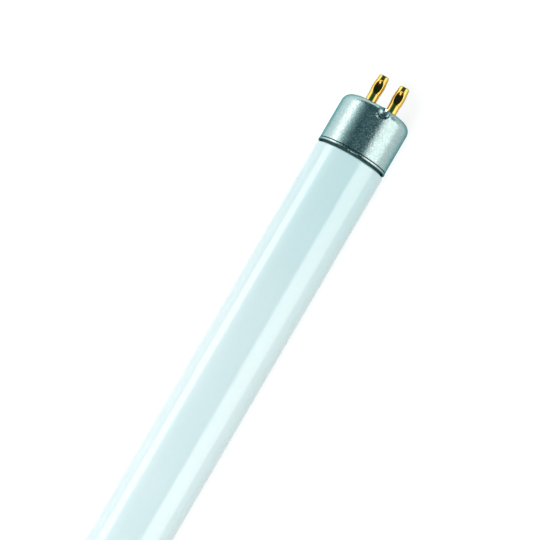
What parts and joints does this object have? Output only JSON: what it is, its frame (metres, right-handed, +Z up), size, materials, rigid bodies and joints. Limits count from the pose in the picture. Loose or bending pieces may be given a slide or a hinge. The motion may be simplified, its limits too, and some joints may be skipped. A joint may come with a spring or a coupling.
{
  "type": "fluorescent tube",
  "caption": "Slim straight fluorescent lamp tube: white coated glass body with a satin aluminium cap on each end, carrying a pair of crimped hollow brass contact pins.",
  "frame": {"origin": "middle of the lamp, on the tube's axis, halfway between the two cap faces", "axes": "+X along the tube towards end a, +Y along each pair of pins, +Z up from the surface that the lamp lies on"},
  "size_m": [0.3012, 0.0154, 0.0154],
  "materials": {
    "coated_glass": "glossy glass with an opaque white coating on its inside",
    "cap_aluminium": "satin, fine grain",
    "insulator": "matt moulded resin",
    "cement": "matt, dark, grainy",
    "pin_brass": "polished",
    "lead_wire": "drawn wire"
  },
  "bodies": {
    "root": {"glass_tube": "coated_glass", "end_cap_a": "cap_aluminium", "end_cap_b": "cap_aluminium", "insulator_disc_a": "insulator", "insulator_disc_b": "insulator", "basing_cement_a": "cement", "basing_cement_b": "cement", "contact_pin_a1": "pin_brass", "contact_pin_a2": "pin_brass", "contact_pin_b1": "pin_brass", "contact_pin_b2": "pin_brass", "lead_wire_a1": "lead_wire", "lead_wire_a2": "lead_wire", "lead_wire_b1": "lead_wire", "lead_wire_b2": "lead_wire"}
  },
  "joints": []
}
